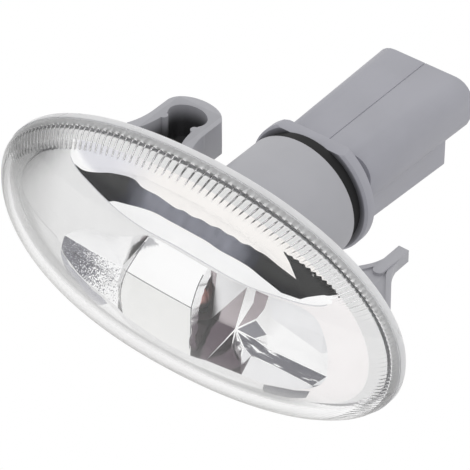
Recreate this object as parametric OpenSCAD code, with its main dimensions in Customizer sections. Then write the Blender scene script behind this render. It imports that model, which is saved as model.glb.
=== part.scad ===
// Side repeater lamp for a car wing: a clear oval lens, a bright reflector, a grey
// housing with a spring clip and a hook, and a twist-in bulb holder with its connector.
// The lens faces -Y, the long axis lies along X, and the origin is the centre of the
// rim's back face, which seats on the car's panel.

/* [Lens] */
// Length of the rim along X
rim_l = 90; // [80:1:100]
// Height of the rim along Z
rim_h = 48.6; // [44:0.2:54]
// Squareness of the oval: 2 is an ellipse, more is squarer
oval_power = 2.13; // [2:0.01:2.3]
// Thickness of the rim's flange
rim_t = 1.5; // [1.2:0.1:2]
// Width of the ledge between the flange's edge and the dome
rim_ledge = 0.3; // [0.2:0.1:1.2]
// Depth of the lens from the seat to the front of the dome
lens_depth = 15.7; // [15:0.1:18]
// Height of the upright foot of the dome above the seat
dome_foot = 2.3; // [2:0.1:3]
// How full the dome is near its top
dome_power = 2.25; // [2:0.05:2.6]
// How steep the dome is near its foot
dome_edge = 1.56; // [1.4:0.02:1.8]
// Wall of the lens
lens_wall = 1.8; // [1.4:0.1:2]
// Number of light-spreading flutes inside the skirt
flute_count = 180; // [120:4:200]
// Depth of a flute
flute_depth = 0.6; // [0.3:0.05:0.8]
// Length of the flutes along Y
flute_l = 3.6; // [2:0.1:4]

/* [Reflector] */
// Width of the gap between the fluted skirt and the reflector
reflector_gap = 0.5; // [0.3:0.1:1]
// Extra gap between the reflector and the dome at the two ends
reflector_end_gap = 1.8; // [1.2:0.1:3]
// Clear height between the reflector's crest and the lens
crest_gap = 1.1; // [0.8:0.1:1.6]
// Place of the trough's left tip
trough_left = -23; // [-26:0.5:-20]
// Place of the trough's right tip
trough_right = 35; // [31:0.5:36]
// Greatest height of the trough at its mouth
trough_h = 21; // [17:0.5:22]
// Least thickness of the reflector under the trough
trough_floor = 1.2; // [0.8:0.1:2]
// Number of flat facets around the trough's half turn
trough_facets = 5; // [5:1:11]
// Width of the hood that hides the bulb
hood_w = 15.8; // [13:0.2:17]
// Shift of the hood's middle from the bulb axis
hood_shift = -2; // [-4:0.2:0]
// Sideways lean of the hood from its foot to its top
hood_lean = 5; // [0:0.5:7]
// Thickness of the hood
hood_t = 1.2; // [0.8:0.1:1.6]
// Clearance around the bulb in the reflector
bulb_gap = 0.9; // [0.5:0.1:1.5]
// Left tip of the crescent scoops
scoop_left = -31; // [-34:0.5:-28]
// Right tip of the crescent scoops
scoop_right = 43; // [40:0.5:46]
// Radius of the crescent scoops at their middle
scoop_r = 6; // [5:0.1:7]
// Height of the scoops' axis above the lamp's middle
scoop_z = 17.8; // [16:0.1:19]
// Tilt of the scoops towards the right tip
scoop_tilt = 3; // [0:0.5:6]
// Depth of the scoops' axis behind the reflector's crest
scoop_drop = 2; // [1:0.1:3]

/* [Housing] */
// Thickness of the base plate
plate_t = 1.8; // [1.4:0.1:2.4]
// Clearance between the base plate and the lens
plate_gap = 0.15; // [0.1:0.05:0.3]
// Recess of the base plate's back below the seat
plate_recess = 0.3; // [0.2:0.05:0.6]
// Place of the bulb axis along X
axis_x = 2.6; // [0:0.1:4]
// Outer diameter of the bulb tube
tube_d = 25; // [24:0.1:27]
// Wall of the bulb tube
tube_wall = 2; // [1.8:0.1:2.4]
// Distance from the seat to the tube's end
tube_end = 25.3; // [24:0.1:28]
// Length of the raised pad around the tube
pad_l = 54; // [50:1:58]
// Height of the raised pad around the tube
pad_h = 30; // [28:1:34]
// Thickness of the raised pad
pad_t = 3; // [2:0.2:4]
// Thickness of the car's panel that the fixings hold
panel_t = 1; // [0.8:0.1:1.4]

/* [Spring clip] */
// Centre of the spring clip along X
clip_x = -25; // [-27:0.5:-24]
// Outer width of the clip
clip_w = 12.3; // [11.5:0.1:13]
// Wall of the clip's arms
clip_wall = 2.5; // [2:0.1:3]
// Width of the clip's strip along Z
clip_depth = 8.6; // [7:0.2:10]
// Distance from the seat to the top of the clip
clip_top = 32.7; // [30:0.1:35]
// Height of the clip's arched top
clip_arch = 3.9; // [3:0.1:4.5]
// Distance of the two inner bumps below the clip's top
clip_bump_drop = 8; // [7.5:0.1:9]
// Radius of the two inner bumps
clip_bump_r = 0.8; // [0.5:0.1:1]
// Radius by which the two arms flare apart towards the lens
clip_flare_r = 14; // [12:0.5:20]
// Distance from the bumps to where the flare ends
clip_flare = 6; // [4:0.5:7]
// Slope of the clip's sides, towards its lower edge, in degrees
clip_draft = 6; // [0:0.5:8]
// Depth of the catch on the free arm
clip_catch = 1.3; // [0.8:0.1:1.6]
// Free play between the car's panel and what catches behind it
catch_play = 0.5; // [0.3:0.1:0.8]
// Thickness of the clip's loop at its highest point
clip_crown = 2.5; // [2:0.1:3]
// Thickness of the web that closes the clip's lower side
clip_web = 1.2; // [0.8:0.1:2]

/* [Hook] */
// Centre of the hook's finger along X
hook_x = 27.2; // [26:0.2:29]
// Width of the finger along X
finger_w = 2.2; // [1.8:0.1:2.8]
// Thickness of the finger along Z
finger_t = 2.6; // [2.5:0.1:3]
// Distance from the seat to the finger's tip
finger_top = 23.8; // [22:0.1:25]
// Distance from the seat to the finger's rounded foot
finger_foot = 15.2; // [14:0.1:16]
// Radius of the hollow between the finger and each flank
gusset_r = 9; // [7:0.5:11]
// Slope of the flanks away from the finger, in degrees
gusset_slope = 35; // [30:1:38]
// Half width of the gusset at its foot
gusset_half = 7.5; // [6.5:0.1:8]
// Distance from the finger's tip to where the flanks leave it
gusset_drop = 2.3; // [1:0.1:4]
// Thickness of the gusset's web
web_t = 1.2; // [1:0.1:1.6]
// Thickness of the ribs along the gusset's flanks
rib_t = 2; // [1.8:0.1:2.4]
// Width of the ribs along the gusset's flanks
rib_w = 1; // [0.8:0.1:1.4]
// Reach of the lug behind the panel
hook_lug = 2.6; // [2:0.1:3]

/* [Bulb holder] */
// Distance from the seat to the holder's flange
flange_y = 28; // [27.5:0.1:31]
// Thickness of the flange
flange_t = 2.9; // [2.4:0.1:3.4]
// Diameter of the flange over its round sides
flange_d = 26.6; // [26:0.1:29]
// Width of the flange across its upper and lower flats
flange_flat = 22; // [21:0.1:25]
// Radial clearance between the holder's barrel and the tube
barrel_gap = 0.4; // [0.35:0.05:0.6]
// Distance from the seat to the barrel's front end
barrel_y = 7; // [5:0.2:9]
// Reach of the three bayonet lugs
lug_reach = 0.9; // [0.7:0.1:1]
// Length of a lug along Y
lug_l = 2.4; // [2:0.1:3]
// Width of a lug
lug_w = 4; // [3:0.2:5]
// Depth of the bayonet groove below the tube's end
groove_drop = 3; // [2.4:0.1:4]
// Running clearance around the lugs
lug_gap = 0.4; // [0.35:0.05:0.5]
// Turn from locked to free
lock_turn = 45; // [30:5:55]
// Width of the sealing ring's section
seal_w = 1.7; // [1.4:0.1:1.9]
// Free gap between the sealing ring and the tube's end
seal_gap = 0.3; // [0.3:0.05:0.6]

/* [Connector] */
// Distance from the seat to the connector's mouth
mouth_y = 64.3; // [60:0.1:68]
// Width of the mouth
mouth_w = 22; // [20:0.1:24]
// Narrowing of the connector from its mouth to the flange
body_taper = 1.6; // [0:0.1:2.4]
// Distance from the bulb axis to the connector's top
body_top = 7.7; // [7:0.1:8.4]
// Distance from the bulb axis to the connector's underside
body_low = 5.2; // [4.6:0.1:6]
// Radius of the two upper corners
corner_top = 4; // [3:0.1:4.5]
// Length of the narrow neck behind the flange
neck_l = 2.4; // [1.6:0.1:3]
// Depth of the neck on both sides
neck_in = 1.5; // [0.8:0.1:2]
// Radius of the two lower corners
corner_low = 6.4; // [5:0.1:7]
// Wall of the connector
body_wall = 1.6; // [1.2:0.1:2]
// Depth of the connector's cavity
cavity_l = 19; // [16:0.5:22]
// Width of the latch block
block_w = 18; // [16:0.2:19]
// Distance from the bulb axis to the latch block's underside
block_low = 9.3; // [8.5:0.1:10.5]
// Rise of the block's underside from its end to the flange
block_rise = 1.4; // [0:0.1:2]
// Setback of the block from the mouth
block_setback = 5.3; // [4:0.1:7]
// Width of the latch channel in the block
channel_w = 9; // [7:0.2:10]
// Height of the latch nose in the channel
latch_h = 2; // [1.4:0.1:2.4]
// Length of the latch nose along its sloping top
latch_l = 5; // [4:0.5:6]
// Distance from the latch nose to the block's end
latch_setback = 1; // [0.5:0.5:2]
// Radius of the latch block's corners
block_r = 0.8; // [0.4:0.1:1.2]
// Depth of the parting line along the top
seam = 0.12; // [0.06:0.02:0.2]

/* [Bulb and contacts] */
// Diameter of the bulb's glass
bulb_d = 10.3; // [9.8:0.1:10.4]
// Length of the bulb over its glass and wedge
bulb_l = 26.8; // [25:0.1:27.4]
// Place of the bulb's tip
bulb_tip = -10; // [-10.2:0.1:-8]
// Width of the wedge
wedge_w = 9.4; // [9:0.1:9.8]
// Thickness of the wedge
wedge_t = 2.2; // [2:0.1:2.6]
// Length of the wedge
wedge_l = 8.4; // [7:0.1:9]
// Width and height of the slope between the glass and the wedge
shoulder = 1.5; // [1:0.1:2]
// Thickness of the wires folded over the wedge
lead_d = 0.5; // [0.4:0.05:0.6]
// Width of a contact strip
blade_w = 2.8; // [2.3:0.1:3]
// Thickness of a contact strip
blade_t = 0.8; // [0.6:0.05:0.9]
// Distance between the two contact strips
blade_pitch = 5; // [4.4:0.1:5.6]
// Length of the blades inside the cavity
blade_l = 12; // [10:0.5:14]
// Length of the bend between a contact's two ends
blade_bend = 3.5; // [2:0.1:5]
// Clearance around the contacts in the holder
slot_gap = 0.1; // [0.05:0.05:0.2]

/* [Hidden] */
$fn = 64;
eps = 0.01;

// Chamfer on the turned edges
edge = 0.5;

oval_steps = 72;
half_l = rim_l/2;
half_h = rim_h/2;

// Inner outline of the lens skirt
skirt_l = half_l - rim_ledge - lens_wall;
skirt_h = half_h - rim_ledge - lens_wall;
flute_y = -plate_t - flute_l;
rim_sink = lens_wall/4;

// Reflector
refl_l = skirt_l - flute_depth - reflector_gap - reflector_end_gap;
refl_h = skirt_h - flute_depth - reflector_gap;
crest_y = -(lens_depth - lens_wall - crest_gap);
trough_mid = (trough_left + trough_right)/2;
trough_half = (trough_right - trough_left)/2;
scoop_mid = (scoop_left + scoop_right)/2;
scoop_half = (scoop_right - scoop_left)/2;

// Bulb tube and holder
tube_r = tube_d/2;
bore_r = tube_r - tube_wall;
barrel_r = bore_r - barrel_gap;
lug_r = bore_r + lug_reach;
groove_y = tube_end - groove_drop - lug_l;
flange_end = flange_y + flange_t;
block_end = mouth_y - block_setback;
cavity_y = mouth_y - cavity_l;

// Bulb
bulb_base = bulb_tip + bulb_l;
wedge_y = bulb_base - wedge_l;

// Point on an oval of half axes a and b at the angle t
function oval_point(a, b, t) =
    [a*sign(cos(t))*pow(abs(cos(t)), 2/oval_power),
     b*sign(sin(t))*pow(abs(sin(t)), 2/oval_power)];
function oval(a, b, n) = [for (i = [0:n - 1]) oval_point(a, b, 360*(i + 0.5)/n)];

// Arc of an ellipse from angle t0 to t1
function arc(x, y, a, b, t0, t1, n) =
    [for (i = [0:n]) let (t = t0 + (t1 - t0)*i/n) [x + a*cos(t), y + b*sin(t)]];

// Depth of a dome of height h at the relative distance k from its middle
function dome(k, h) = h*pow(1 - pow(k, dome_power), 1/dome_edge);

// An outline in the XZ plane placed at the depth y
function ring(points, y) = [for (p = points) [p[0], y, p[1]]];

// Closed solid through a row of rings that all have as many points
module skin(rings) {
    n = len(rings[0]);
    m = len(rings);
    side = [for (j = [0:m - 2]) for (i = [0:n - 1])
        [j*n + i, j*n + (i + 1)%n, (j + 1)*n + (i + 1)%n, (j + 1)*n + i]];
    front = [[for (i = [n - 1:-1:0]) i]];
    back = [[for (i = [0:n - 1]) (m - 1)*n + i]];
    polyhedron([for (r = rings) for (p = r) p], concat(side, front, back), convexity = 6);
}

// A flat outline in the XZ plane, drawn out from y0 to y1
module prism(y0, y1) {
    translate([0, y1, 0]) rotate([90, 0, 0]) linear_extrude(y1 - y0) children();
}

// A flat outline in the XY plane, drawn out to both sides of Z = 0
module strip(depth) {
    translate([0, 0, -depth/2]) linear_extrude(depth) children();
}

// A flat outline in the YZ plane, drawn out to both sides of the place x
module side_view(x, width) {
    translate([x - width/2, 0, 0]) multmatrix([[0, 0, 1, 0], [1, 0, 0, 0], [0, 1, 0, 0], [0, 0, 0, 1]])
        linear_extrude(width) children();
}

// A turned solid on the bulb axis, from points of radius and distance along Y
module turned(points) {
    translate([axis_x, 0, 0]) rotate([-90, 0, 0]) rotate_extrude() polygon(points);
}

// A round rod on the bulb axis
module rod(r, y0, y1) {
    turned([[0, y0], [r, y0], [r, y1], [0, y1]]);
}

// Lens: rim flange, skirt with flutes and a smooth dome, in one clear moulding
inner_foot = dome_foot - lens_wall/3;
inner_rise = lens_depth - lens_wall - inner_foot;
dome_rings = [0.12, 0.3, 0.48, 0.64, 0.77, 0.87, 0.94, 0.98, 1];

function dome_ring(k, a, b, foot, h) = ring(oval(a*k, b*k, oval_steps), -foot - dome(k, h));

module lens_shell() {
    dome_l = half_l - rim_ledge;
    dome_h = half_h - rim_ledge;
    rise = lens_depth - dome_foot;
    outer = [for (k = dome_rings) dome_ring(k, dome_l, dome_h, dome_foot, rise)];
    foot = [ring(oval(dome_l, dome_h, oval_steps), -rim_t/2),
            ring(oval(skirt_l + rim_sink, skirt_h + rim_sink, oval_steps), -rim_t/2)];
    count = len(dome_rings);
    inner = [for (i = [count - 1:-1:0])
        dome_ring(dome_rings[i], skirt_l, skirt_h, inner_foot, inner_rise)];
    skin(concat(outer, foot, inner));
}

// The flat rim that seats on the panel
module rim() {
    prism(-rim_t, 0) difference() {
        polygon(oval(half_l, half_h, oval_steps));
        polygon(oval(skirt_l, skirt_h, oval_steps));
    }
}

module flute_ring() {
    tips = oval(skirt_l - flute_depth, skirt_h - flute_depth, 2*flute_count);
    roots = oval(skirt_l, skirt_h, 2*flute_count);
    prism(flute_y, -plate_t - plate_gap) difference() {
        polygon(oval(skirt_l + lens_wall/2, skirt_h + lens_wall/2, oval_steps));
        polygon([for (i = [0:2*flute_count - 1]) i%2 == 0 ? roots[i] : tips[i]]);
    }
}

module lens() {
    color([0.9, 0.92, 0.93, 0.35]) union() {
        lens_shell();
        rim();
        flute_ring();
    }
}

// Reflector: a crested bezel with two crescent scoops, a faceted trough and the bulb's hood

// A turned solid on an axis along X, from points of place along X and radius
module turned_x(points, y, z) {
    translate([0, y, z]) rotate([0, 90, 0]) rotate_extrude()
        polygon([for (p = points) [p[1], p[0]]]);
}

// A spindle between two tips, of the radius r at its middle
module spindle(x0, x1, r, y, z) {
    half = (x1 - x0)/2;
    big = (half*half + r*r)/(2*r);
    end = asin(half/big);
    points = [for (i = [0:20]) let (t = -end + 2*end*i/20)
        [(x0 + x1)/2 + big*sin(t), max(0, big*cos(t) - (big - r))]];
    turned_x(points, y, z);
}

// The crest: it follows the inside of the dome at the crest gap, lowered by the inset
module crest(inset) {
    foot = inner_foot - crest_gap - inset;
    skin(concat([for (k = dome_rings) dome_ring(k, skirt_l, skirt_h, foot, inner_rise)],
                [ring(oval(skirt_l, skirt_h, oval_steps), lens_depth)]));
}

// The trough: a long spindle whose skin is made of flat facets
module trough() {
    depth = -plate_t - trough_floor - crest_y;
    r = (depth*depth + trough_h*trough_h/4)/(2*depth);
    y = crest_y + depth - r;
    big = (trough_half*trough_half + r*r)/(2*r);
    end = asin(trough_half/big);
    sides = 2*trough_facets;
    steps = 10;
    rings = [for (j = [0:steps]) let (t = end*(-1 + 2*j/steps), s = max(0.2, big*cos(t) - big + r))
        [for (i = [0:sides - 1]) let (u = 360*(i + 0.5)/sides)
            [trough_mid + big*sin(t), y + s*cos(u), -s*sin(u)]]];
    skin(rings);
}

// The hood's field seen from the front: a leaning parallelogram
module hood_field() {
    reach = trough_h;
    left = axis_x + hood_shift - hood_w/2;
    prism(2*crest_y, 0) polygon([
        [left - hood_lean, -reach], [left + hood_w - hood_lean, -reach],
        [left + hood_w + hood_lean, reach], [left + hood_lean, reach]]);
}

module reflector() {
    color([0.86, 0.87, 0.89]) difference() {
        intersection() {
            prism(2*crest_y, -plate_t) polygon(oval(refl_l, refl_h, oval_steps));
            crest(0);
        }
        difference() {
            trough();
            hood_field();
        }
        intersection() {
            trough();
            crest(hood_t);
        }
        for (side = [-1, 1])
            translate([scoop_mid, crest_y + scoop_drop, side*scoop_z]) rotate([0, side*scoop_tilt, 0])
                spindle(-scoop_half, scoop_half, scoop_r, 0, 0);
        rod(bulb_d/2 + bulb_gap, crest_y/2, 1);
    }
}

// Housing: base plate, bulb tube, spring clip and hook, in one grey moulding

// Depth inside the base plate from which all that stands on it rises
root_y = -(plate_t + plate_recess)/2;
clip_half = clip_w/2;
clip_slot = clip_half - clip_wall;
bump_y = clip_top - clip_bump_drop;
loop_flat = 0.9;
loop_bulge = 0.5;

// Sideways flare of the arms at the distance y from the seat
function flare(y) = let (t = min(clip_flare, max(0, bump_y - y)))
    clip_flare_r - sqrt(clip_flare_r*clip_flare_r - t*t);
flare_steps = [for (i = [0:8]) bump_y - clip_flare*i/8];

// An arm's wall line on one side of the clip, x from its middle, from its top down to y
function arm_line(side, x, y) = concat(
    [for (v = flare_steps) [clip_x + side*(x + flare(v)), v]],
    [[clip_x + side*(x + flare(y)), y]]);
function reversed(list) = [for (i = [len(list) - 1:-1:0]) list[i]];

module clip_outline() {
    spring_y = clip_top - clip_arch;
    catch_y = panel_t + catch_play;
    end_x = clip_x - clip_half - flare(0);
    polygon(concat(
        reversed(arm_line(1, clip_half, root_y)),
        arc(clip_x, spring_y, clip_half, clip_arch, 0, 180, 20),
        arm_line(-1, clip_half, catch_y + 2.5*clip_catch),
        [[end_x - clip_catch, catch_y + clip_catch/2], [end_x - clip_catch, catch_y], [end_x, catch_y],
         [end_x, panel_t/2], [end_x + clip_wall, panel_t/2]],
        reversed(arm_line(-1, clip_slot, 2*clip_wall)),
        arm_line(1, clip_slot, 2*clip_wall),
        [[clip_x + clip_slot + flare(0), root_y]]));
}

module clip() {
    loop_b = clip_arch - loop_flat;
    loop_y = clip_top - clip_crown - loop_b;
    difference() {
        strip(clip_depth) {
            difference() {
                union() {
                    clip_outline();
                    translate([clip_x - clip_half, bump_y]) square([clip_w, loop_y - bump_y]);
                }
                polygon(arc(clip_x, loop_y, clip_slot + loop_bulge, loop_b, 0, 360, 40));
                translate([clip_x - clip_slot, bump_y - 1]) square([2*clip_slot, loop_y - bump_y + 1]);
            }
            for (side = [-1, 1])
                translate([clip_x + side*clip_slot, bump_y]) circle(clip_bump_r, $fn = 32);
        }
        translate([clip_x + clip_half, bump_y, clip_depth/2]) rotate([0, clip_draft, 0])
            translate([0, 0, -3*clip_depth]) cube([clip_w, clip_top, 4*clip_depth]);
    }
    web_y = bump_y - 2*clip_bump_r;
    translate([clip_x - clip_slot - eps, web_y, -clip_depth/2])
        cube([2*clip_slot - clip_bump_r, clip_top - clip_wall/2 - clip_arch/2 - web_y, clip_web]);
}

// One flank of the gusset, from near the finger's tip down to y, moved in by a rib's width
function flank(side, inset, y) = let (
    cx = finger_w/2 + gusset_r, cy = finger_top - gusset_drop,
    r = gusset_r + inset,
    out = [for (i = [0:10]) let (t = gusset_slope*i/10) [cx - r*cos(t), cy - r*sin(t)]],
    run = gusset_half - inset - out[10][0], foot = out[10][1] - run/tan(gusset_slope))
    [for (p = concat(out, [[gusset_half - inset, foot], [gusset_half - inset, y]]))
        [hook_x + side*p[0], p[1]]];

module hook() {
    lug_y = panel_t + catch_play;
    out_x = hook_x + gusset_half;
    strip(web_t) difference() {
        polygon(concat(flank(-1, 0, root_y), reversed(flank(1, 0, root_y))));
        translate([out_x - hook_lug, 2*root_y]) square([2*hook_lug, lug_y - 2*root_y]);
    }
    strip(rib_t) {
        polygon(concat(flank(-1, 0, root_y), reversed(flank(-1, rib_w, root_y))));
        polygon(concat(flank(1, 0, lug_y), reversed(flank(1, rib_w, lug_y))));
    }
    strip(finger_t) {
        translate([hook_x - finger_w/2, finger_foot + finger_w/2])
            square([finger_w, finger_top - finger_foot - finger_w/2]);
        translate([hook_x, finger_foot + finger_w/2]) circle(d = finger_w, $fn = 32);
    }
}

module bayonet_room() {
    reach = lug_r + lug_gap;
    turned([[0, groove_y - lug_gap], [reach, groove_y - lug_gap],
            [reach, groove_y + lug_l + lug_gap], [0, groove_y + lug_l + lug_gap]]);
    intersection() {
        rod(reach, groove_y, tube_end + 1);
        translate([axis_x, 0, 0]) for (i = [0:2]) rotate([0, lock_turn + 120*i, 0])
            translate([0, 0, -lug_w/2 - lug_gap]) cube([tube_d, tube_end + 2, lug_w + 2*lug_gap]);
    }
}

module housing() {
    color([0.62, 0.62, 0.64]) difference() {
        union() {
            prism(-plate_t, -plate_recess)
                polygon(oval(skirt_l - plate_gap, skirt_h - plate_gap, oval_steps));
            translate([axis_x, 0, 0]) prism(root_y, pad_t) polygon(oval(pad_l/2, pad_h/2, oval_steps));
            rod(tube_r, root_y, tube_end);
            clip();
            hook();
        }
        rod(bore_r, -plate_t - 1, tube_end + 1);
        bayonet_room();
    }
}

// Bulb holder: barrel with three lugs, flange and connector, in one grey moulding

// Rounded section of the connector, w wide, with its own upper and lower corners
function body_section(w, top, low, rt, rl) = concat(
    arc(axis_x + w/2 - rt, top - rt, rt, rt, 0, 90, 6),
    arc(axis_x - w/2 + rt, top - rt, rt, rt, 90, 180, 6),
    arc(axis_x - w/2 + rl, -low + rl, rl, rl, 180, 270, 6),
    arc(axis_x + w/2 - rl, -low + rl, rl, rl, 270, 360, 6));

function body_ring(w, y) = ring(body_section(w, body_top, body_low, corner_top, corner_low), y);

module connector_body() {
    slim = mouth_w - body_taper;
    skin([body_ring(slim, flange_end + neck_l),
          body_ring(slim + body_taper/4, (flange_end + mouth_y)/2),
          body_ring(mouth_w, mouth_y)]);
    skin([body_ring(slim - 2*neck_in, flange_end - eps),
          body_ring(slim - 2*neck_in, flange_end + neck_l + eps)]);
}

module latch_block() {
    block_top = corner_low - body_low;
    skin([ring(body_section(block_w - body_taper/2, block_top, block_low - block_rise, block_r, block_r),
               flange_end - eps),
          ring(body_section(block_w, block_top, block_low, block_r, block_r), block_end)]);
}

module lugs() {
    intersection() {
        rod(lug_r, groove_y, groove_y + lug_l);
        translate([axis_x, 0, 0]) for (i = [0:2]) rotate([0, 120*i, 0])
            translate([0, 0, -lug_w/2]) cube([tube_d, tube_end, lug_w]);
    }
}

// A contact strip's side view in the YZ plane, grown by a clearance all round
function strip_path(side, grow) = let (
    t = blade_t/2 + grow, near = side*(wedge_t/2 + lead_d + blade_t/2), y0 = wedge_y + 1 - grow,
    y1 = bulb_base + blade_t, y2 = y1 + blade_bend, y3 = cavity_y + blade_l + grow)
    [[y0, near - t], [y1, near - t], [y2, -t], [y3, -t], [y3, t], [y2, t], [y1, near + t], [y0, near + t]];

module contact(side, grow) {
    width = blade_w + 2*grow;
    side_view(axis_x + side*blade_pitch/2, width) polygon(strip_path(side, grow));
}

module bulb_holder() {
    color([0.58, 0.58, 0.62]) difference() {
        union() {
            turned([[0, barrel_y], [barrel_r - edge, barrel_y], [barrel_r, barrel_y + edge],
                    [barrel_r, flange_y], [0, flange_y]]);
            intersection() {
                turned([[0, flange_y], [flange_d/2 - edge, flange_y], [flange_d/2, flange_y + edge],
                        [flange_d/2, flange_end - edge], [flange_d/2 - edge, flange_end],
                        [0, flange_end]]);
                translate([axis_x - flange_d, flange_y - 1, -flange_flat/2])
                    cube([2*flange_d, flange_t + 2, flange_flat]);
            }
            lugs();
            connector_body();
            latch_block();
        }
        prism(cavity_y, mouth_y + 1)
            polygon(body_section(mouth_w - 2*body_wall, body_top - body_wall, body_low - body_wall,
                                 corner_top - body_wall, corner_low - body_wall));
        difference() {
            translate([axis_x - channel_w/2, flange_end + body_wall, -2*block_low])
                cube([channel_w, mouth_y - flange_end, 2*block_low - body_low]);
            latch_nose();
        }
        bulb_room();
        for (side = [-1, 1]) contact(side, slot_gap);
        translate([axis_x - seam, flange_end + seam, body_top - seam]) cube([2*seam, mouth_y, 1]);
    }
}

// The wedge-shaped nose that the plug's latch snaps over
module latch_nose() {
    low = block_end - latch_setback;
    high = low - latch_l;
    side_view(axis_x, channel_w/2)
        polygon([[high - body_wall/2, -body_low + body_wall/2], [high - body_wall/2, -body_low - latch_h],
                 [high, -body_low - latch_h], [low, -body_low], [low, -body_low + body_wall/2]]);
}

// The room in the barrel for the bulb's foot and its folded wires
module bulb_room() {
    rod(bulb_d/2 + bulb_gap/2, barrel_y - 1, wedge_y + bulb_gap);
    translate([axis_x - wedge_w/2 - slot_gap, wedge_y - 1, -wedge_t/2 - slot_gap - lead_d])
        cube([wedge_w + 2*slot_gap, wedge_l + 1 + slot_gap, wedge_t + 2*lead_d + 2*slot_gap]);
}

// Sealing ring between the tube's end and the flange
module holder_seal() {
    color([0.12, 0.12, 0.13]) turned([
        [barrel_r, tube_end + seal_gap], [barrel_r + seal_w, tube_end + seal_gap],
        [barrel_r + seal_w, flange_y], [barrel_r, flange_y]]);
}

// Bulb: round glass drawn down to a flat wedge
module bulb() {
    r = bulb_d/2;
    color([0.95, 0.55, 0.15]) union() {
        turned(concat([[0, bulb_tip]],
            [for (i = [1:8]) [r*sin(90*i/8), bulb_tip + r*(1 - cos(90*i/8))]],
            [[r, wedge_y - shoulder], [r - shoulder, wedge_y], [0, wedge_y]]));
        translate([axis_x - wedge_w/2, wedge_y - shoulder, -wedge_t/2])
            cube([wedge_w, wedge_l + shoulder, wedge_t]);
    }
}

// The two wires folded over the wedge, one on each face
module bulb_leads() {
    color([0.72, 0.7, 0.66]) for (side = [-1, 1])
        translate([axis_x + side*blade_pitch/2 - lead_d, wedge_y + shoulder,
                   side > 0 ? wedge_t/2 : -wedge_t/2 - lead_d])
            cube([2*lead_d, wedge_l - shoulder, lead_d]);
}

module contact_left() {
    color([0.78, 0.62, 0.3]) contact(-1, 0);
}

module contact_right() {
    color([0.78, 0.62, 0.3]) contact(1, 0);
}

lens();
reflector();
housing();
bulb_holder();
holder_seal();
bulb();
bulb_leads();
contact_left();
contact_right();
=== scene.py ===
import bpy, bmesh, math
import numpy as np
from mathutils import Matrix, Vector, geometry

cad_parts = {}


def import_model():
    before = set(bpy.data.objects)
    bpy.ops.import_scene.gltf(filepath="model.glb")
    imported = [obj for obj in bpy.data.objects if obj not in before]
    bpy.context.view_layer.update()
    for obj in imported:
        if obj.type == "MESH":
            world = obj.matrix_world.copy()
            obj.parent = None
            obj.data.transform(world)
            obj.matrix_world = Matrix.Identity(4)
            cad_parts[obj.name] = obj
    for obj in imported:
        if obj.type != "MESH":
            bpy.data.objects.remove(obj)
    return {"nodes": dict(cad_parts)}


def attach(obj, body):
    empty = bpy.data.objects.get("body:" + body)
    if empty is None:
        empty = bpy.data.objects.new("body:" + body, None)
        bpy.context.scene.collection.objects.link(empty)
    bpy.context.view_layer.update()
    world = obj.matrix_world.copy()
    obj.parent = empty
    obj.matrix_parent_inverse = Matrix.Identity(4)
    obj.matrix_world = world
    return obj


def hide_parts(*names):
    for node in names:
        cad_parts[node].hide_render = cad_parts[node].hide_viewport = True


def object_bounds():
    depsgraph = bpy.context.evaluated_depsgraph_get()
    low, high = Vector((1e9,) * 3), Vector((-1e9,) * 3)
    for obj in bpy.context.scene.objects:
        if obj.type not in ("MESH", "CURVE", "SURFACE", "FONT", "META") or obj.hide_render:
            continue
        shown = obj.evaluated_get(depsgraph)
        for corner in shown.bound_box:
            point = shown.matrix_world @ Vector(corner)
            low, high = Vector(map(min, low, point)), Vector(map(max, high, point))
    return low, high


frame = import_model()
NODES, CAD_BOX = frame["nodes"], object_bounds()
MM = 0.001


# Camera
FRAME_PX, SENSOR, LENS = 470, 36.0, 233.3
FOCAL_PX = FRAME_PX*LENS/SENSOR
CAM_AT = np.array([262.78, -322.72, 345.74])
TILT, TURN = math.radians(50.75), math.radians(38.32)
CAM_RIGHT = np.array([math.cos(TURN), math.sin(TURN), 0])
CAM_UP = np.array([-math.sin(TURN)*math.cos(TILT), math.cos(TURN)*math.cos(TILT), math.sin(TILT)])
CAM_AHEAD = np.cross(CAM_UP, CAM_RIGHT)
# the depths, in y, at which a line of sight is tried
SIGHT_Y = np.linspace(-16, 0, 1601)


def make_camera():
    cam = bpy.data.objects.new("camera", bpy.data.cameras.new("camera"))
    bpy.context.scene.collection.objects.link(cam)
    cam.location = tuple(CAM_AT*MM)
    cam.rotation_euler = (TILT, 0, TURN)
    cam.data.sensor_width = SENSOR
    cam.data.lens = LENS
    cam.data.clip_start, cam.data.clip_end = 0.02, 20
    bpy.context.scene.camera = cam


def seen(px, py, surface):
    """The first point, in mm, of a surface y = f(x, z) that lies behind a pixel of the photograph."""
    ray = CAM_AHEAD + (px - FRAME_PX/2)/FOCAL_PX*CAM_RIGHT - (py - FRAME_PX/2)/FOCAL_PX*CAM_UP
    t = (SIGHT_Y - CAM_AT[1])/ray[1]
    x, z = CAM_AT[0] + t*ray[0], CAM_AT[2] + t*ray[2]
    gap = SIGHT_Y - surface(x, z)
    hit = np.nonzero(gap >= 0)[0]
    i = hit[0] if len(hit) else int(np.argmax(gap))
    return np.array([x[i], SIGHT_Y[i], z[i]])


# Shapes
POWER = 2.13
HALF_L, HALF_H = 44.95, 24.27
LEDGE, RIM_T, FOOT, DEPTH, WALL = 0.3, 1.5, 2.3, 15.62, 1.8
DOME_P, DOME_E, DOME_RINGS = 2.25, 1.56, 46
SKIRT_L, SKIRT_H = HALF_L - LEDGE - WALL, HALF_H - LEDGE - WALL
FOOT_IN = FOOT - WALL/3
RISE_IN = DEPTH - WALL - FOOT_IN
FLUTES, FLUTE_T, FLUTE_SIDES = 180, 0.42, 8
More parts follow.
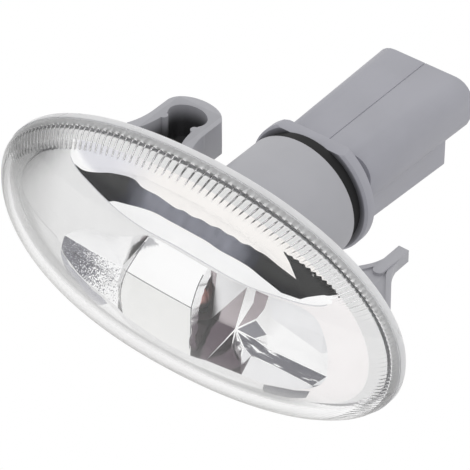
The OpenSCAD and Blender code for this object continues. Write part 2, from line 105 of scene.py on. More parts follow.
# the flutes at each level of the skirt: the level, and the share of their full depth along the top and
# elsewhere
FLUTE_LEVELS = [(1.9, 0, 0), (2.0, 0.8, 0.3), (3.2, 1, 0.2), (4.2, 1, 0), (5.0, 0.8, 0), (5.5, 0.35, 0),
                (5.8, 0, 0)]
FULL_LEFT, FULL_RIGHT = 0.009, 0.02
AXIS_X, FLANGE_Y, CLIP_X, CLIP_IN = 2.6, 28.0, -25.0, 5.1
# edges that turn by more than this many degrees stay sharp
SHARP, SHARP_LENS, SHARP_MOULD, SHARP_REFL = 30, 40, 28, 24


def oval(a, b, n):
    t = 2*np.pi*np.arange(n)/n
    c, s = np.cos(t), np.sin(t)
    return np.c_[a*np.sign(c)*np.abs(c)**(2/POWER), b*np.sign(s)*np.abs(s)**(2/POWER)]


def dome(k, h):
    return h*np.maximum(1 - k**DOME_P, 0)**(1/DOME_E)


def new_object(name, verts, faces, smooth=True):
    mesh = bpy.data.meshes.new(name)
    mesh.from_pydata([tuple(v) for v in np.asarray(verts)*MM], [], faces)
    mesh.validate()
    mesh.polygons.foreach_set("use_smooth", [smooth]*len(mesh.polygons))
    obj = bpy.data.objects.new(name, mesh)
    bpy.context.scene.collection.objects.link(obj)
    return obj


def loft(name, rings):
    """A closed skin through rings of equal length, with a cap at each end."""
    n, m = len(rings[0]), len(rings)
    faces = []
    for a in range(0, (m - 1)*n, n):
        for i in range(n):
            k = (i + 1) % n
            faces.append((a + i, a + k, a + n + k, a + n + i))
    faces.append(tuple(range(n - 1, -1, -1)))
    faces.append(tuple((m - 1)*n + i for i in range(n)))
    return new_object(name, np.concatenate(rings), faces)


def mark_sharp(bm, angle):
    """Turns the faces outwards and marks the edges that stay sharp."""
    bmesh.ops.recalc_face_normals(bm, faces=bm.faces)
    limit = math.radians(angle)
    for e in bm.edges:
        if len(e.link_faces) == 2 and e.calc_face_angle(0) > limit:
            e.smooth = False


def sharpen(obj, angle=SHARP):
    """Does the same to an object, and gives it back."""
    bm = bmesh.new()
    bm.from_mesh(obj.data)
    mark_sharp(bm, angle)
    bm.to_mesh(obj.data)
    bm.free()
    return obj


def inside(poly, x, z):
    """Which points lie inside a closed outline."""
    hit = np.zeros(len(x), bool)
    for (a, b), (c, d) in zip(poly, np.roll(poly, -1, axis=0)):
        cross = (b > z) != (d > z)
        with np.errstate(divide="ignore", invalid="ignore"):
            hit ^= cross & (x < (c - a)*(z - b)/(d - b + 1e-30) + a)
    return hit


def distance(line, x, z, closed=False):
    """Distance from points to a line of points in the XZ plane."""
    best = np.full(len(x), 1e9)
    ends = np.roll(line, -1, axis=0) if closed else line[1:]
    for (a, b), (c, d) in zip(line, ends):
        u = np.clip(((x - a)*(c - a) + (z - b)*(d - b))/((c - a)**2 + (d - b)**2 + 1e-12), 0, 1)
        best = np.minimum(best, np.hypot(x - a - u*(c - a), z - b - u*(d - b)))
    return best


def curve(a, b, c, d, step):
    """Points about a step apart from b up to c, on a smooth curve that comes from a and goes on to d."""
    n = max(1, int(round(np.linalg.norm(c - b)/step)))
    return [0.5*(2*b + (c - a)*u + (2*a - 5*b + 4*c - d)*u*u + (3*b - a - 3*c + d)*u**3)
            for u in np.arange(n)/n]


def smooth_line(points, step):
    """A smooth open line through a few points, with sub-points about a step apart."""
    p = np.asarray(points, float)
    q = np.vstack([2*p[0] - p[1], p, 2*p[-1] - p[-2]])
    return np.array([s for i in range(len(p) - 1) for s in curve(*q[i:i + 4], step)] + [p[-1]])


def soft(v, low, high):
    """A smooth step from 0 at low to 1 at high."""
    t = np.clip((v - low)/(high - low), 0, 1)
    return t*t*(3 - 2*t)


def ripple(x, z, seed):
    """Slow, uneven waviness between about -1 and 1."""
    slow = np.sin(1.9*x + 0.7*z + seed) + np.sin(3.1*x - 1.3*z + 2.1*seed)
    return (slow + 0.6*np.sin(6.3*x + 2.9*z + seed))/2.6


# Lens
def inner_radius(y):
    """Relative radius of the inner dome at the depth y."""
    return (1 - (max(0, (y - FOOT_IN)/RISE_IN))**DOME_E)**(1/DOME_P)


def make_lens():
    n = FLUTE_SIDES*FLUTES
    unit = oval(1, 1, n)
    # the outline is a little fuller at its two lower corners
    full = np.where(unit[:, 0] > 0, FULL_RIGHT, FULL_LEFT)*np.sin(4*np.pi*np.arange(n)/n)**2
    unit *= (1 + full*(unit[:, 1] < 0))[:, None]

    def ring(a, b, y):
        return np.c_[unit[:, 0]*a, np.full(n, y), unit[:, 1]*b]
    ks = np.sin(np.linspace(0.02, 1, DOME_RINGS)*np.pi/2)
    a, b = HALF_L - LEDGE, HALF_H - LEDGE
    rings = [ring(a*k, b*k, -FOOT - dome(k, DEPTH - FOOT)) for k in ks]
    # foot, fine steps and the rim
    rings += [ring(a, b, -RIM_T - 0.15), ring(a + 0.06, b + 0.06, -RIM_T)]
    rings += [ring(HALF_L - 0.05, HALF_H - 0.05, -RIM_T), ring(HALF_L, HALF_H, -RIM_T + 0.1),
              ring(HALF_L, HALF_H, -0.12), ring(HALF_L - 0.12, HALF_H - 0.12, 0)]
    rings += [ring(SKIRT_L, SKIRT_H, 0)]
    # inner skirt with flutes, long ones along the top and short ones elsewhere, then the inner dome
    tooth = 0.5 - 0.5*np.cos(2*np.pi*(np.arange(n) % FLUTE_SIDES)/FLUTE_SIDES)
    long = soft(unit[:, 1], 0.3, 0.62)
    for y, top, side in FLUTE_LEVELS:
        k = inner_radius(y)
        d = FLUTE_T*tooth*(top*long + side*(1 - long))
        rings.append(np.c_[unit[:, 0]*(SKIRT_L*k - d), np.full(n, -y), unit[:, 1]*(SKIRT_H*k - d)])
    last = inner_radius(FLUTE_LEVELS[-1][0]) - 0.004
    rings += [ring(SKIRT_L*k, SKIRT_H*k, -FOOT_IN - dome(k, RISE_IN)) for k in ks[::-1] if k < last]
    return sharpen(loft("lens_clear", rings), SHARP_LENS)


# Reflector
REFL_L, REFL_H, EDGE_POINTS = 40.0, 20.7, 260
APRON_L, APRON_H, APRON_Y = 42.35, 21.55, -2.35
LENS_GAP, BACK_Y = 1.15, -1.95
# the hood's thickness, the width of its bevelled right edge at the top, and the share lost at its low end
HOOD_T, HOOD_BEVEL, BEVEL_FADE = 1.2, 0.9, 0.8
# the scoop's floor, in y, and how softly its wall runs into it
SCOOP_FLOOR, SCOOP_WALL = -6.0, 1.9
# the step at the bezel's left: its height, how soft its foot is, and where along -X it grows
STEP, STEP_FOOT, STEP_GROWS = 0.8, 0.35, (12, 20)
# the mesh's points: their spacing over the face and its ratio between rows, how far they keep off lines as
# a share of it, and the spacing on the trough's outline, on other lines and on the streak's upper edge;
# then the distance at which points merge, and the triangulation's tolerance
GRID, ROW, KEEP_OFF, RUN_STEP, LINE_STEP, FINE_STEP = 0.42, 0.87, 0.6, 1.2, 0.8, 0.5
WELD, TOLERANCE = 0.001, 1e-4
# the width of thin lines, the share of it that takes their film, the shift of the one at the left tip, and
# the width of the creases
LINE_W, LINE_REACH, TIP_SHIFT, CREASE_W = 0.2, 0.55, 0.6, 0.15
BORE_R, BORE_FRONT, BORE_BACK, BORE_SIDES = 5.6, -10.7, 1.0, 72
# the share of light that the lens lets through, the share of the bright room that it mirrors itself, and
# the grey of the painted shade on its steep wall
LENS_CLEAR, LENS_GLARE, LENS_WALL_SHADE = 0.85, 0.08, 0.50
# tones as they show through the lens: painted reflections, highlights and shade on the otherwise white film
WHITE = (1.0, 1.0, 1.0)
PLATEAU, PLATEAU_END, BEZEL_RIGHT = (0.89, 0.89, 0.89), (0.79, 0.79, 0.79), (0.94, 0.93, 0.93)
SIDE, APRON, HOOD_LOW = (0.865, 0.865, 0.865), (0.90, 0.90, 0.90), (0.92, 0.92, 0.915)
SCOOP_LEFT, SCOOP_RIGHT = (0.86, 0.86, 0.88), (0.945, 0.935, 0.925)
SHADE_TONE, PATCH_TONE, CORNER_TONE = (0.67, 0.67, 0.70), (0.50, 0.50, 0.52), (0.74, 0.74, 0.75)
STREAK_DARK, STREAK_RIPPLE, STREAK_BLUE = 0.27, 0.03, (1, 1.01, 1.07)
# where those tones change: along x, from the scoop's ridge, and the softness of a patch's edge, all in mm
END_AT, RIGHT_AT, SIDE_AT, FLOOR_AT = (-33, -22), (14, 30), (16, 20), (-16, -2)
STREAK_IN, STREAK_OUT, WALL_AT = (-12, -4), (12, 20), (1.0, 2.2)
LOBE_SOFT, LOW_SOFT, CORNER_SOFT = 0.7, 0.8, 0.15


def crest(x, z):
    """The reflector's face: it follows the inside of the lens at a small gap."""
    k = ((np.abs(x)/SKIRT_L)**POWER + (np.abs(z)/SKIRT_H)**POWER)**(1/POWER)
    return LENS_GAP - FOOT_IN - dome(k, RISE_IN)


def plan(points, surface=crest):
    """Where pixels of the photograph fall on a surface, in plan."""
    return np.array([seen(*p, surface)[[0, 2]] for p in points])


# What the photograph shows, by pixel: the corners of the trough's outline on the crest, clockwise from the
# left tip, then the sharp ones among them and the hood's
OUTLINE = {"a0": (68.8, 233.8), "u1": (80, 229.4), "u2": (92.5, 227.5), "u3": (108, 231),
           "u4": (127, 235.5), "HT": (151.3, 235.3), "hu": (180, 250), "W1": (210, 267.5),
           "T1": (219, 272.5), "T2": (248.8, 286.3), "T3": (257.5, 289.5), "T4": (270, 295),
           "T5": (300, 305), "T6": (320, 322), "T7": (328.5, 350), "RT": (327.5, 373.8),
           "B1": (322, 381.5), "B2": (300, 386.3), "B3": (265, 380), "B4": (243.8, 371.5),
           "B5": (227.5, 365), "B6": (208.8, 357.5), "B7": (193, 352.5), "hl": (160, 335),
           "HB": (126.3, 311), "o4": (121.3, 305), "o3": (110, 295.5), "o2": (99.4, 286.5),
           "o1": (81, 269.5), "a1": (65.5, 247), "c2s": (66.5, 241)}
TIPS, HOOD_CORNERS = ("a0", "RT", "a1", "c2s"), ("HT", "hu", "W1", "B7", "hl", "HB")
# corners inside the trough, by pixel and depth below the crest
INNER = {"c1a": (95, 249.5, 1.6), "c1b": (125, 265.5, 2.8), "c2a": (78.5, 253.3, 1.1),
         "c2b": (101.5, 267.7, 2.2), "c2c": (121, 281, 3.4), "S": (237.5, 327.5, 4.2),
         "C1": (213.5, 317, 4.6), "C0": (198, 320, 6.5), "K1": (255, 300, 1.4), "K2": (257, 318.5, 2.6),
         "K3": (266, 307.5, 1.4), "K4": (268, 333, 2.4), "N1": (256, 337, 3.0), "Q1": (269, 346, 2.2),
         "Q2": (253, 353, 2.4), "Q3": (283, 367, 1.4), "Q4": (313, 383, 0.5), "P1": (322.5, 351.3, 0.6),
         "P2": (273, 316, 1.2), "P3": (268.5, 341, 2.2), "G1": (233.5, 346, 3.4), "G2": (245, 344, 3.0),
         "G3": (241.5, 364, 1.4)}
# the trough's facets, whose films carry painted reflections and shade, and the bright lines between them, by
# corner; i marks the hood's underside
FACETS = [("facet_white", "a0 u1 u2 u3 u4 HT HTi c1b c1a"),
          ("facet_speckled", "a0 c1a c1b c2c c2b c2a c2s"),
          ("facet_speckled", "c2s c2a c2b c2c o4 o3 o2 o1 a1"), ("facet_behind", "HTi hui W1i C0 c1b"),
          ("facet_behind", "c1b C0 B7i hli HBi HB o4 c2c"), ("facet_mauve", "W1i W1 T1 C1 C0"),
          ("facet_pale", "T1 T2 C1"), ("facet_mauve", "T2 S C1"), ("facet_dusk", "C0 C1 S B6 B7 B7i"),
          ("facet_dusk", "B6 S G1 G3 B4 B5"), ("facet_glass", "S G2 G3 G1"), ("facet_white", "T2 T3 K1 S"),
          ("facet_mauve", "T3 T4 K3 K2 S K1"), ("facet_grey", "S K2 K4 N1"),
          ("facet_pale", "T4 T5 T6 T7 P1 P2"), ("facet_white", "K3 T4 P2 P1 P3 K4 K2"),
          ("facet_white", "N1 K4 P3 P1 T7 RT Q1"), ("facet_streaked", "S N1 Q1 RT Q4 Q3 Q2 G2"),
          ("facet_pale", "G3 G2 Q2 Q3 Q4 RT B1 B2 B3 B4")]
CREASES = ["a0 c1a c1b", "c2s c2a c2b c2c", "S B6", "S T2", "S K1", "S K2", "S N1 Q1 RT", "S G1 G3",
           "S G2 G3", "Q2 Q3 Q4"]
# the hood's sides and crease, the scoop's rim and streak, the step at the left, and the patches of tone
HOOD_LEFT = [(141.3, 248), (130, 266.3), (123.8, 280), (121.3, 296)]
HOOD_RIGHT = [(200, 286.3), (195, 305), (192.3, 330)]
CREASE_LINE = [(126, 267), (165, 290), (196, 307)]
RIDGE = [(73.8, 150.5), (74.2, 157), (77.5, 164.4), (84, 173.5), (92.5, 182.5), (110, 200), (127, 214.5),
         (145, 227), (162, 236.5), (180, 246), (210, 263.5), (228, 274), (247.5, 284), (263, 290),
         (277.5, 294.5), (300, 301.5), (318, 304.5), (332, 303)]
STREAK_TOP = [(77, 164), (87.5, 171.5), (100, 174.2), (110, 174.8), (121, 177), (129.3, 179.3),
              (135.7, 183.8), (138.3, 190.2), (144.6, 195.3), (153.6, 200.4), (161.2, 206.7),
              (171.4, 214.4), (179, 216.3), (186.7, 222), (197, 225.2), (205.9, 231), (214.8, 232.9),
              (222.4, 238.6), (230, 241.2), (237.8, 247.6), (246.7, 248.8), (253, 253.3), (262, 256.5),
              (269.6, 261.6), (278.6, 268), (285, 271.8), (297, 278.8)]
STREAK_END = [(290, 262), (284, 251.5), (296, 259), (309, 268), (322, 278), (337, 290), (343, 296),
              (325, 294.5), (308, 296.5), (301, 298.5)]
STREAK_LOW = [(282.4, 292), (274.7, 286), (262, 276), (250.5, 266.7), (237.8, 259), (221.2, 250),
              (208.4, 241.2), (195.7, 234), (183, 227), (171.4, 220.8), (157.4, 213), (143.4, 208),
              (130, 204.5), (116.6, 201), (111, 201.5), (91, 184), (82, 174)]
EDGE = [(64, 240), (58, 232), (45.3, 218.8), (36, 206), (30, 197), (26.5, 188), (26, 179), (28.5, 170),
        (33.5, 162), (41, 155.5), (50, 151), (61.6, 149.5), (74.3, 149.5), (90.6, 149), (108.8, 151.3),
        (125, 155.5)]
# below this point the step's line shows dark
EDGE_TURN = EDGE[11]
# closes the step's line, in mm, to an outline round everything that isn't at its left
BEYOND_EDGE = [(-9, 40), (60, 40), (60, -40), (-17, -40), (-17, -12)]
LOBE = [(92.5, 291.5), (97, 305), (110, 318), (130, 327.5), (134, 325), (120, 309), (107, 297)]
SHADE_LEFT = [(64.3, 248), (68.9, 267.7), (76.1, 282.2), (90.6, 295), (103, 303), (111, 301), (106, 295),
              (97, 288), (80, 270)]
PATCH = [(265.6, 381.5), (265.6, 392), (287.9, 396.4), (307, 395), (311, 388), (294.9, 387)]
LOW_WHITE = [(150, 342), (190, 358), (225, 372), (262, 384), (262, 391), (225, 384), (185, 370),
             (150, 352)]
HOOD_CORNER = [(151.3, 235.3), (146, 243), (141, 250), (149, 246), (161, 244), (155, 238)]


def trough_runs(flat):
    """The points between the corners of the trough's outline, smooth but for its sharp tips."""
    names = list(OUTLINE)
    loop = np.array([flat[n] for n in names + names[:1]])
    tips = [names.index(n) for n in TIPS] + [len(names)]
    runs = {}
    for s, e in zip(tips[:-1], tips[1:]):
        for i in range(s, e):
            p = loop[[max(i - 1, s), i, i + 1, min(i + 2, e)]]
            runs[names[i], names[(i + 1) % len(names)]] = curve(*p, RUN_STEP)[1:]
    return runs


class Shape:
    """The reflector's lines in plan, and the height of its face."""
    def __init__(self):
        self.corner = {n: seen(*p, crest) for n, p in OUTLINE.items()}
        for n, (px, py, d) in INNER.items():
            self.corner[n] = seen(px, py, lambda x, z: crest(x, z) + d)
        flat = self.flat = {n: p[[0, 2]] for n, p in self.corner.items()}
        runs = self.runs = trough_runs(flat)
        self.trough = np.array([p for (a, _), run in runs.items() for p in (flat[a], *run)])
        # the hood lies between its top, right, low and left edges
        self.left = smooth_line([flat["HT"], *plan(HOOD_LEFT), flat["HB"]], LINE_STEP)
        self.right = smooth_line([flat["W1"], *plan(HOOD_RIGHT), flat["B7"]], LINE_STEP)
        top = [flat["HT"], *runs["HT", "hu"], flat["hu"], *runs["hu", "W1"]]
        low = [flat["B7"], *runs["B7", "hl"], flat["hl"], *runs["hl", "HB"]]
        self.hood = np.array([*top, *self.right[:-1], *low, *self.left[::-1][:-1]])
        self.top, self.low = np.array(top + [flat["W1"]]), np.array(low[::-1] + [flat["B7"]])
        self.low = self.low[np.argsort(self.low[:, 0])]
        self.crease = smooth_line(plan(CREASE_LINE), LINE_STEP)
        self.ridge = smooth_line(plan(RIDGE), LINE_STEP)
        self.ledge = smooth_line(plan(EDGE), LINE_STEP)
        self.beyond = np.vstack([self.ledge, BEYOND_EDGE])
        self.shade, self.patch = plan(SHADE_LEFT, self.face), plan(PATCH, self.face)
        self.streak = np.vstack([smooth_line(plan(STREAK_TOP), FINE_STEP), plan(STREAK_END, self.face),
                                 smooth_line(plan(STREAK_LOW, self.face), LINE_STEP)])

    def roof(self, x, z):
        """The hood's two slopes, which meet along its crease."""
        zt, zl, zc = (np.interp(x, *line.T) for line in (self.top, self.low, self.crease))
        yc = crest(x, zc)
        up, low = np.clip((z - zc)/(zt - zc), 0, 1), np.clip((zc - z)/(zc - zl), 0, 1)
        return yc + up*(crest(x, zt) - yc) + low*(crest(x, zl) - yc)

    def in_scoop(self, x, z):
        return (x > self.ridge[0, 0]) & (x < self.ridge[-1, 0]) & (z > np.interp(x, *self.ridge.T))

    def in_side(self, x, z):
        return ~inside(self.beyond, x, z)

    def face(self, x, z):
        x, z = np.atleast_1d(x), np.atleast_1d(z)
        y = crest(x, z)
        step = STEP*(1 - np.exp(-distance(self.ledge, x, z)/STEP_FOOT))*soft(-x, *STEP_GROWS)
        y = np.where(self.in_side(x, z), np.minimum(y + step, APRON_Y), y)
        xr = np.minimum(np.maximum(x, self.ridge[0, 0]), self.ridge[-1, 0])
        yr = crest(xr, np.interp(x, *self.ridge.T))
        depth = (SCOOP_FLOOR - yr)*(1 - np.exp(-distance(self.ridge, x, z)/SCOOP_WALL))
        y = np.where(self.in_scoop(x, z), np.maximum(y, yr + np.maximum(depth, 0)), y)
        return np.where(inside(self.hood, x, z), self.roof(x, z), y)

    def tone_lines(self):
        """Thin lines of light and shade: where, which film, and whether on the hood or round it."""
        dark = self.ledge[self.ledge[:, 1] < plan([EDGE_TURN])[0, 1]]
        tip = [p for a, b in (("o2", "o1"), ("o1", "a1")) for p in (self.flat[a], *self.runs[a, b])]
        return [(offset(self.ridge[1:-1], -LINE_W/2), "line_pale", False),
                (offset(self.crease, 0), "line_dark", True),
                (offset(self.left[2:-2], LINE_W), "line_grey", True),
                (offset(self.right[2:-2], -LINE_W), "line_dark", True),
                (offset(dark[1:], 0), "line_dark", False),
                (offset(tip[1:], LINE_W*TIP_SHIFT), "line_bright", False)]

    def fill_points(self, edge):
        """A grid of points over the face and the hood that keeps off their lines."""
        gx, gz = np.meshgrid(np.arange(-REFL_L, REFL_L, GRID), np.arange(-REFL_H, REFL_H, GRID*ROW))
        gx[1::2] += GRID/2
        grid = np.c_[gx.ravel(), gz.ravel()]
        grid = grid[inside(edge, *grid.T) & (distance(edge, *grid.T, closed=True) > GRID/2)]
        grid = grid[inside(self.hood, *grid.T) | ~inside(self.trough, *grid.T)]
        for line in (self.left, self.right, self.ridge, self.crease, self.ledge):
            grid = grid[distance(line, *grid.T) > KEEP_OFF*GRID]
        for line in (self.trough, self.streak):
            grid = grid[distance(line, *grid.T, closed=True) > KEEP_OFF*GRID]
        return grid


class Net:
    """A triangulation in plan that keeps the lines put into it."""
    def __init__(self):
        self.points, self.lines = [], []

    def add(self, line, closed=False):
        start, n = len(self.points), len(line)
        self.points.extend(line)
        self.lines.extend((start + i, start + (i + 1) % n) for i in range(n if closed else n - 1))
        return list(range(start, start + n))

    def triangulate(self, grid):
        flat = [Vector(p) for p in np.vstack([np.array(self.points), grid])]
        net = geometry.delaunay_2d_cdt(flat, self.lines, [], 0, TOLERANCE)
        verts, edges, self.tris, origin, edge_origin, _ = net
        self.index = {k: i for i, ks in enumerate(origin) for k in ks}
        self.xz = np.array([tuple(v) for v in verts])
        self.mid = np.array([self.xz[list(t)].mean(axis=0) for t in self.tris])
        self.line_no, self.pieces = {pair: k for k, pair in enumerate(self.lines)}, {}
        for pair, ks in zip(edges, edge_origin):
            for k in ks:
                self.pieces.setdefault(k, set()).update(pair)

    def path(self, ids):
        """The vertices along a run of points, with those where other lines cross it."""
        out = [self.index[ids[0]]]
        for a, b in zip(ids[:-1], ids[1:]):
            line = self.line_no.get((a, b), self.line_no.get((b, a)))
            a, b = self.index[a], self.index[b]
            between = self.pieces.get(line, set()) - {a, b}
            out += sorted(between, key=lambda v: math.dist(self.xz[v], self.xz[a])) + [b]
        return out


class Skin:
    """Faces and the film on each, over a list of points that grows."""
    def __init__(self, points):
        self.points, self.faces, self.films = [tuple(p) for p in points], [], []

    def point(self, place):
        self.points.append(tuple(place))
        return len(self.points) - 1

    def add(self, face, film):
        self.faces.append(tuple(face))
        self.films.append(film)

    def build(self, name, kinds):
        """The object, with films of these kinds, and the new number of each point in use."""
        used = sorted({v for f in self.faces for v in f})
        number = {v: i for i, v in enumerate(used)}
        faces = [tuple(number[v] for v in f) for f in self.faces]
        obj = new_object(name, np.array(self.points)[used], faces)
        for kind in kinds:
            obj.data.materials.append(FILMS[kind])
        obj.data.polygons.foreach_set("material_index", [kinds.index(f) for f in self.films])
        return obj, number


def make_reflector():
    shape, net = Shape(), Net()
    edge = oval(REFL_L, REFL_H, EDGE_POINTS)
    edge_ids, trough_ids = net.add(edge, True), net.add(shape.trough, True)
    left, right = net.add(shape.left[1:-1]), net.add(shape.right[1:-1])
    start, count = {}, 0
    for (a, _), run in shape.runs.items():
        start[a] = count
        count += 1 + len(run)
    left = [trough_ids[start["HT"]], *left, trough_ids[start["HB"]]]
    right = [trough_ids[start["W1"]], *right, trough_ids[start["B7"]]]
    for ids in (left, right):
        net.lines += [(ids[0], ids[1]), (ids[-2], ids[-1])]
    net.add(shape.ridge)
    for line in (shape.streak, shape.shade, shape.patch):
        net.add(line, True)
    net.add(shape.ledge)
    strips = shape.tone_lines()
    for line, _, _ in strips:
        net.add(offset(line, LINE_W/2))
        net.add(offset(line, -LINE_W/2))
    net.triangulate(shape.fill_points(edge))
    order = {}
    for (a, b), run in shape.runs.items():
        ids = [trough_ids[i % count] for i in range(start[a], start[a] + len(run) + 2)]
        walk = net.path(ids)
        order[a], order[a, b] = walk[0], walk[1:-1]
    left, right = net.path(left), net.path(right)

    # the face, and the hood's underside and side walls
    x, z = net.xz.T
    y = shape.face(x, z)
    rim = net.path(trough_ids + trough_ids[:1])
    y[rim] = crest(x[rim], z[rim])
    skin = Skin(np.c_[x, y, z])
    bevel = dict(zip(right, HOOD_BEVEL*(1 - BEVEL_FADE*np.linspace(0, 1, len(right)))))
    lower = {}

    def under(v):
        if v not in lower:
            px, py, pz = skin.points[v]
            lower[v] = skin.point((px + bevel.get(v, 0), py + HOOD_T, pz))
        return lower[v]
    for tri, film, on_hood in face_films(net, shape, edge, strips):
        skin.add(tri, film)
        if on_hood:
            skin.add([under(v) for v in reversed(tri)], "facet_behind")
    for walk in (left, right):
        for a, b in zip(walk[:-1], walk[1:]):
            skin.add((a, b, under(b), under(a)), "hood_edge")

    # the trough's facets hang on its outline
    ids = {n: order[n] for n in OUTLINE}
    ids |= {n + "i": under(ids[n]) for n in HOOD_CORNERS}
    ids |= {n: skin.point(shape.corner[n]) for n in INNER}
    for film, names in FACETS:
        walk, loop = names.split(), []
        for a, b in zip(walk, walk[1:] + walk[:1]):
            loop.append(ids[a])
            if (a, b) in order:
                loop += order[a, b]
            elif a.endswith("i") and (a[:-1], b[:-1]) in order:
                loop += [under(v) for v in order[a[:-1], b[:-1]]]
        skin.add(loop, film)

    # the outer wall and the back
    wide = edge*[APRON_L/REFL_L, APRON_H/REFL_H]
    front, back = ([skin.point((px, y, pz)) for px, pz in wide] for y in (APRON_Y, BACK_Y))
    for i, j in zip(range(EDGE_POINTS), [*range(1, EDGE_POINTS), 0]):
        skin.add((*net.path([edge_ids[i], edge_ids[j]]), front[j], front[i]), "apron")
        skin.add((front[i], front[j], back[j], back[i]), "apron")
    skin.add(back, "apron")

    kinds = sorted({*skin.films, "line_bright"})
    obj, number = skin.build("reflector_bright", kinds)
    paint(obj.data, shape)
    add_creases(obj.data, [[number[ids[c]] for c in text.split()] for text in CREASES], kinds)
    return obj


def face_films(net, shape, edge, strips):
    """The triangles of the face and the hood, with the film on each and whether it is on the hood."""
    at = net.mid.T
    in_hood, in_scoop = inside(shape.hood, *at), shape.in_scoop(*at)
    film = np.full(len(net.mid), "film", object)
    film[in_scoop & ~in_hood] = "scoop"
    film[in_scoop & ~in_hood & inside(shape.streak, *at)] = "streak"
    for line, name, on_hood in strips:
        film[(distance(line, *at) < LINE_W*LINE_REACH) & (in_hood == on_hood)] = name
    used = inside(edge, *at) & (in_hood | ~inside(shape.trough, *at))
    return [(net.tris[t], film[t], in_hood[t]) for t in np.nonzero(used)[0]]


def add_creases(mesh, walks, kinds):
    """Thin bright bevels between the trough's facets, which are flat where the rest is smooth."""
    bm = bmesh.new()
    bm.from_mesh(mesh)
    bm.verts.ensure_lookup_table()
    edges = [bm.edges.get((bm.verts[a], bm.verts[b])) for walk in walks for a, b in zip(walk[:-1], walk[1:])]
    bmesh.ops.bevel(bm, geom=[e for e in edges if e], offset=CREASE_W*MM, segments=1, affect="EDGES",
                    clamp_overlap=True, material=kinds.index("line_bright"))
    bmesh.ops.remove_doubles(bm, verts=bm.verts, dist=WELD*MM)
    big = [f for f in bm.faces if len(f.verts) > 4]
    bmesh.ops.triangulate(bm, faces=big, quad_method="BEAUTY", ngon_method="BEAUTY")
    for f in bm.faces:
        f.smooth = not kinds[f.material_index].startswith("facet")
    mark_sharp(bm, SHARP_REFL)
    bm.to_mesh(mesh)
    bm.free()


def offset(line, by):
    """A line in plan moved sideways."""
    line = np.asarray(line)
    step = np.gradient(line, axis=0)
    step /= np.linalg.norm(step, axis=1)[:, None] + 1e-12
    return line + by*np.c_[-step[:, 1], step[:, 0]]


def film_tone(grey):
    """The film's own colour for the one that it shows through the lens."""
    return np.clip((lin_array(grey) - LENS_GLARE)/LENS_CLEAR, 0, 1)


def blend(tone, mask, grey):
    mask = np.asarray(mask, float)[:, None]
    return tone*(1 - mask) + np.array(grey)*mask


def paint(mesh, shape):
    """The film's painted reflections, highlights and shade, kept as a colour attribute: soft ones by vertex,
    crisp ones by face.
    """
    co = np.empty(len(mesh.vertices)*3)
    mesh.vertices.foreach_get("co", co)
    corner = np.empty(len(mesh.loops), int)
    mesh.loops.foreach_get("vertex_index", corner)
    count = np.empty(len(mesh.polygons), int)
    mesh.polygons.foreach_get("loop_total", count)
    centre = np.empty(len(mesh.polygons)*3)
    mesh.polygons.foreach_get("center", centre)
    x, z = co.reshape(-1, 3)[corner][:, [0, 2]].T/MM
    cx, cz = np.repeat(centre.reshape(-1, 3), count, axis=0)[:, [0, 2]].T/MM

    def soft_mask(points, width):
        poly = plan(points, shape.face)
        return soft(distance(poly, x, z, closed=True)*np.where(inside(poly, x, z), 1, -1), -width, width)
    # painted reflections and shade on the bezel: darker to the left, lighter to the right, grey below the
    # step, painted highlights in the lobe and the low band, and grey patches
    tone = np.tile(np.array(PLATEAU), (len(x), 1))
    tone = blend(tone, 1 - soft(x, *END_AT), PLATEAU_END)
    tone = blend(tone, soft(x, *RIGHT_AT), BEZEL_RIGHT)
    tone = blend(tone, shape.in_side(cx, cz)*soft(-x, *SIDE_AT), SIDE)
    tone = blend(tone, soft_mask(LOBE, LOBE_SOFT), WHITE)
    tone = blend(tone, soft_mask(LOW_WHITE, LOW_SOFT), WHITE)
    tone = blend(tone, inside(shape.shade, cx, cz), SHADE_TONE)
    tone = blend(tone, inside(shape.patch, cx, cz), PATCH_TONE)
    # the hood's painted reflections: its upper half is white, the lower half pale, with a grey corner
    in_hood = inside(shape.hood, cx, cz)
    low = cz < np.interp(cx, *shape.crease.T)
    tone = blend(tone, in_hood, WHITE)
    tone = blend(tone, in_hood & low, HOOD_LOW)
    tone = blend(tone, soft_mask(HOOD_CORNER, CORNER_SOFT)*in_hood, CORNER_TONE)
    # the crescent scoop's painted reflections: a white wall, a dark streak with a wavy upper edge, paler in
    # its middle, and a floor
    floor = blend(np.tile(np.array(SCOOP_LEFT), (len(x), 1)), soft(x, *FLOOR_AT), SCOOP_RIGHT)
    scoop = blend(floor, 1 - soft(distance(shape.ridge, x, z), *WALL_AT), WHITE)
    middle = soft(x, *STREAK_IN)*(1 - soft(x, *STREAK_OUT))
    dark = STREAK_DARK + STREAK_DARK*middle + STREAK_RIPPLE*ripple(x, z, 1.0)
    scoop = np.where(inside(shape.streak, cx, cz)[:, None], dark[:, None]*STREAK_BLUE, scoop)
    tone = np.where((shape.in_scoop(cx, cz) & ~in_hood)[:, None], scoop, tone)
    layer = mesh.color_attributes.new(name="tone", type="FLOAT_COLOR", domain="CORNER")
    layer.data.foreach_set("color", np.c_[film_tone(tone), np.ones(len(x))].ravel())


def lin_array(c):
    c = np.asarray(c)
    return np.where(c <= 0.04045, c/12.92, ((c + 0.055)/1.055)**2.4)


def bore(obj):
    """Cuts the bulb's hole through a closed piece."""
    t = 2*np.pi*np.arange(BORE_SIDES)/BORE_SIDES
    x, z = AXIS_X + BORE_R*np.cos(t), BORE_R*np.sin(t)
    cutter = sharpen(loft("cutter", [np.c_[x, np.full(BORE_SIDES, y), z] for y in (BORE_FRONT, BORE_BACK)]))
    cutter.data.materials.append(FILMS["bore"])
    mod = obj.modifiers.new("bore", "BOOLEAN")
    mod.operation, mod.object, mod.solver = "DIFFERENCE", cutter, "EXACT"
    apply_modifiers(obj)
    bpy.data.objects.remove(cutter)


